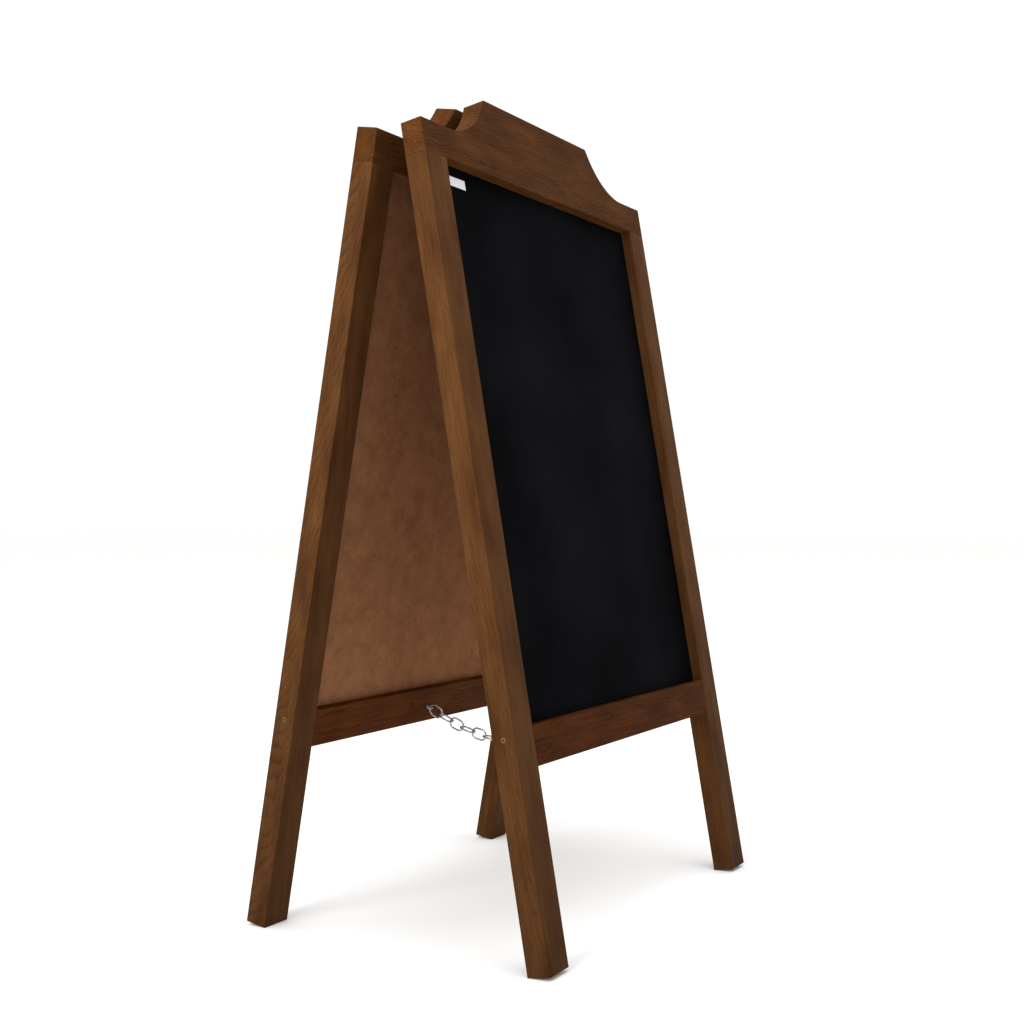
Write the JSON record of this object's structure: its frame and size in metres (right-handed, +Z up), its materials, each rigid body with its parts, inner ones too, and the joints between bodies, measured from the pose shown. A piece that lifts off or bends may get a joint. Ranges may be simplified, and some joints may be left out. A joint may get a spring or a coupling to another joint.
{
  "type": "sandwich board",
  "caption": "Folding sandwich board: hinged stained timber frames with shaped crowns and framed chalkboards, held open by a short link chain between the bottom rails.",
  "frame": {"origin": "on the floor, centred under the hinge line between the four feet", "axes": "+Z up, +X across the board to the right as seen from the front, -Y towards the front chalkboard's reader"},
  "size_m": [0.6, 0.4386, 1.0491],
  "materials": {
    "stained_stiles": "satin dark-oak stained softwood",
    "stained_crowns": "satin dark-oak stained softwood",
    "stained_rails": "satin dark-oak stained softwood",
    "chalkboard": "matte black chalkboard paint on hardboard, bare brown on the back",
    "beech_dowel": "fluted beech, unfinished",
    "brass_screw": "dull yellow-passivated",
    "zinc_hinge": "bright zinc plated",
    "zinc_screw": "bright zinc plated",
    "zinc_chain": "bright zinc plated",
    "label": "plain white paper label"
  },
  "bodies": {
    "front_frame": {"front_left_stile": "stained_stiles", "front_right_stile": "stained_stiles", "front_crown": "stained_crowns", "front_bottom_rail": "stained_rails", "front_chalkboard": "chalkboard", "front_dowels": "beech_dowel", "front_rail_screws": "brass_screw", "front_left_hinge_leaf": "zinc_hinge", "front_right_hinge_leaf": "zinc_hinge", "front_hinge_screws": "zinc_screw", "front_screw_eye": "zinc_chain", "blank_label": "label", "left_hinge_pin": "zinc_hinge", "right_hinge_pin": "zinc_hinge"},
    "rear_frame": {"rear_left_stile": "stained_stiles", "rear_right_stile": "stained_stiles", "rear_crown": "stained_crowns", "rear_bottom_rail": "stained_rails", "rear_chalkboard": "chalkboard", "rear_dowels": "beech_dowel", "rear_rail_screws": "brass_screw", "rear_left_hinge_leaf": "zinc_hinge", "rear_right_hinge_leaf": "zinc_hinge", "rear_hinge_screws": "zinc_screw", "rear_screw_eye": "zinc_chain"},
    "chain_front_half": {"chain_link_01": "zinc_chain", "chain_link_02": "zinc_chain", "chain_link_03": "zinc_chain", "chain_link_04": "zinc_chain", "chain_link_05": "zinc_chain", "chain_link_06": "zinc_chain", "chain_link_07": "zinc_chain"},
    "chain_middle": {"chain_link_08": "zinc_chain"},
    "chain_rear_half": {"chain_link_09": "zinc_chain", "chain_link_10": "zinc_chain", "chain_link_11": "zinc_chain", "chain_link_12": "zinc_chain", "chain_link_13": "zinc_chain", "chain_link_14": "zinc_chain", "chain_link_15": "zinc_chain"}
  },
  "joints": [
    {"name": "fold", "type": "hinge", "parent": "front_frame", "child": "rear_frame", "pos_m": [0, 0, 1.04289], "axis": [-1, 0, 0], "range_deg": [0, 16.4], "deforming": ["chain_link_05", "chain_link_06", "chain_link_07", "chain_link_08", "chain_link_09", "chain_link_10", "chain_link_11"]},
    {"name": "chain_front_swing", "type": "hinge", "parent": "front_frame", "child": "chain_front_half", "pos_m": [0, -0.13612, 0.2444], "axis": [-1, 0, 0], "range_deg": [-0.2, 77.67]},
    {"name": "chain_middle_swing", "type": "hinge", "parent": "chain_front_half", "child": "chain_middle", "pos_m": [0, -0.011, 0.20758], "axis": [-1, 0, 0], "range_deg": [-69.47, 0.2]},
    {"name": "chain_rear_swing", "type": "hinge", "parent": "rear_frame", "child": "chain_rear_half", "pos_m": [0, 0.13612, 0.2444], "axis": [1, 0, 0], "range_deg": [-0.2, 77.67]}
  ],
  "couplings": [
    {"joint": "chain_front_swing", "follows": "fold", "ratio": 4.724},
    {"joint": "chain_middle_swing", "follows": "fold", "ratio": -4.224},
    {"joint": "chain_rear_swing", "follows": "fold", "ratio": 4.724}
  ]
}
